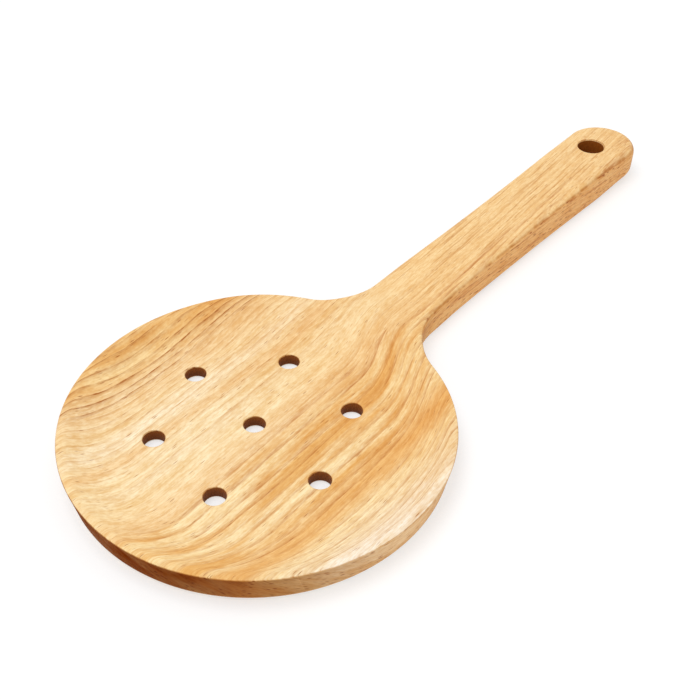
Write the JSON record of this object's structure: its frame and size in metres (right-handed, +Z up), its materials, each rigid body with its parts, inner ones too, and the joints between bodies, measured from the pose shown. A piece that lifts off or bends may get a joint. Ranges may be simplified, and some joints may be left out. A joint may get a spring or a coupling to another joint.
{
  "type": "wooden draining spatula",
  "caption": "Round, shallow dished wooden spatula head with drain holes, on a flat waisted handle with a hanging hole, for turning and draining food.",
  "frame": {"origin": "middle of the footprint, on the flat underside", "axes": "+X from the head to the end of the handle, +Y to the left seen from above, +Z up out of the dish"},
  "size_m": [0.3, 0.126, 0.0148],
  "materials": {
    "left_edge_wood": "sanded and oiled, banded grain with dark pores",
    "left_core_wood": "sanded and oiled, pale straw with soft streaks",
    "right_core_wood": "sanded and oiled, straw with orange streaks",
    "right_edge_wood": "sanded and oiled, cream sapwood"
  },
  "bodies": {
    "root": {"left_edge_stave": "left_edge_wood", "left_core_stave": "left_core_wood", "right_core_stave": "right_core_wood", "right_edge_stave": "right_edge_wood"}
  },
  "joints": []
}
